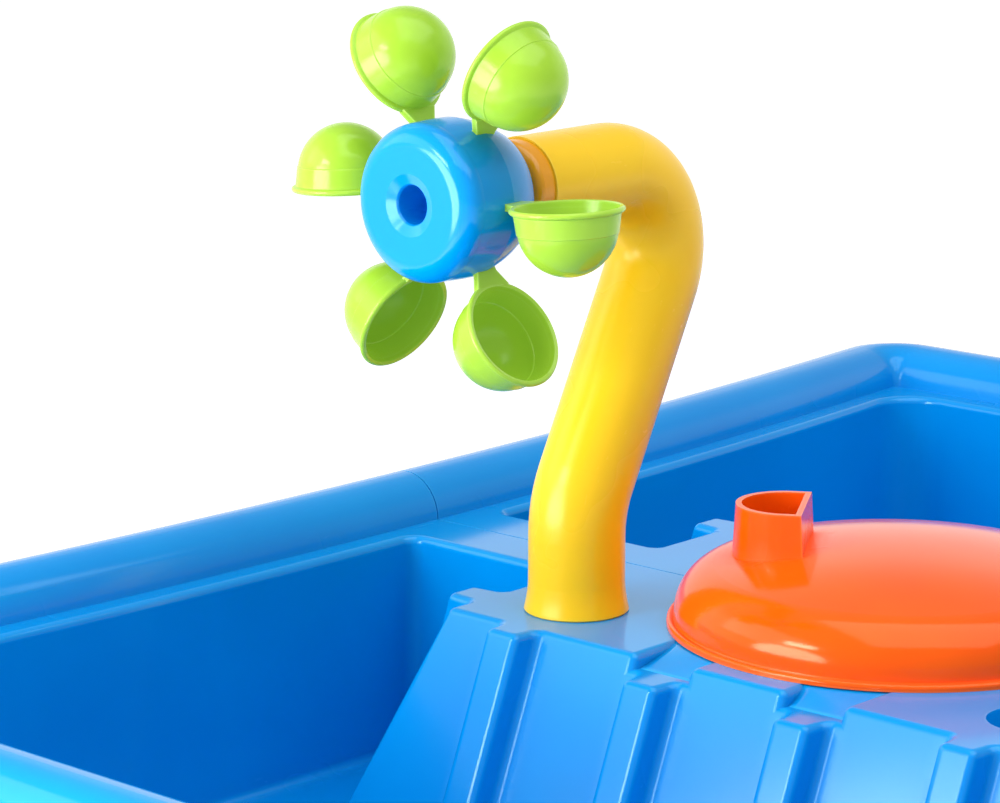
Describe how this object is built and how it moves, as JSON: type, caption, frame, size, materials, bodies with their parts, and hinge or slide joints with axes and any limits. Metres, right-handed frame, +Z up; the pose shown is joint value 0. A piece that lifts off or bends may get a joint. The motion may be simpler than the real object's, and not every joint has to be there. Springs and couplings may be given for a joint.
{
  "type": "sand and water play table",
  "caption": "Children's sand and water table: basins either side of a ribbed hill with a turning dome cover and a gooseneck spout carrying a spinning scoop wheel.",
  "frame": {"origin": "on the ground, at the centre of the table's plan", "axes": "+X towards the right-hand tray, along the long side; +Y towards the back, the side of the spout; +Z up"},
  "size_m": [0.94, 0.7244, 0.7093],
  "materials": {
    "blue_plastic": "glossy moulded polyethylene",
    "yellow_plastic": "glossy moulded",
    "amber_plastic": "glossy moulded",
    "orange_plastic": "glossy moulded",
    "lime_plastic": "glossy moulded",
    "steel": "zinc plated",
    "rubber": "matt",
    "grey_rubber": "matt"
  },
  "bodies": {
    "table": {"tray_left": "blue_plastic", "tray_right": "blue_plastic", "seam_bolts": "steel", "seam_nuts": "steel", "dome_pivot_pin": "blue_plastic", "pivot_clip": "steel", "leg_left_back": "blue_plastic", "leg_left_front": "blue_plastic", "leg_right_back": "blue_plastic", "leg_right_front": "blue_plastic", "foot_left_back": "grey_rubber", "foot_left_front": "grey_rubber", "foot_right_back": "grey_rubber", "foot_right_front": "grey_rubber", "leg_screws": "steel"},
    "spout": {"gooseneck_pipe": "yellow_plastic", "pipe_end_plug": "amber_plastic", "wheel_axle": "steel", "axle_cap": "blue_plastic"},
    "wheel": {"hub_shell": "blue_plastic", "hub_back": "blue_plastic", "scoop_1": "lime_plastic", "scoop_2": "lime_plastic", "scoop_3": "lime_plastic", "scoop_4": "lime_plastic", "scoop_5": "lime_plastic", "scoop_6": "lime_plastic"},
    "dome": {"dome_cover": "orange_plastic"},
    "drain_left": {"drain_plug_left": "yellow_plastic", "drain_seal_left": "rubber"},
    "drain_right": {"drain_plug_right": "yellow_plastic", "drain_seal_right": "rubber"}
  },
  "joints": [
    {"name": "spout_swivel", "type": "hinge", "parent": "table", "child": "spout", "pos_m": [-0.0805, 0.1293, 0.42], "axis": [0, 0, 1], "continuous": true},
    {"name": "wheel_spin", "type": "hinge", "parent": "spout", "child": "wheel", "pos_m": [-0.1639, 0.1293, 0.6262], "axis": [-1, 0, 0], "continuous": true},
    {"name": "dome_turn", "type": "hinge", "parent": "table", "child": "dome", "pos_m": [0, 0, 0.42], "axis": [0, 0, 1], "continuous": true},
    {"name": "drain_left_pull", "type": "slide", "parent": "table", "child": "drain_left", "axis": [0, 0, -1], "range_m": [0, 0.03]},
    {"name": "drain_right_pull", "type": "slide", "parent": "table", "child": "drain_right", "axis": [0, 0, -1], "range_m": [0, 0.03]}
  ]
}
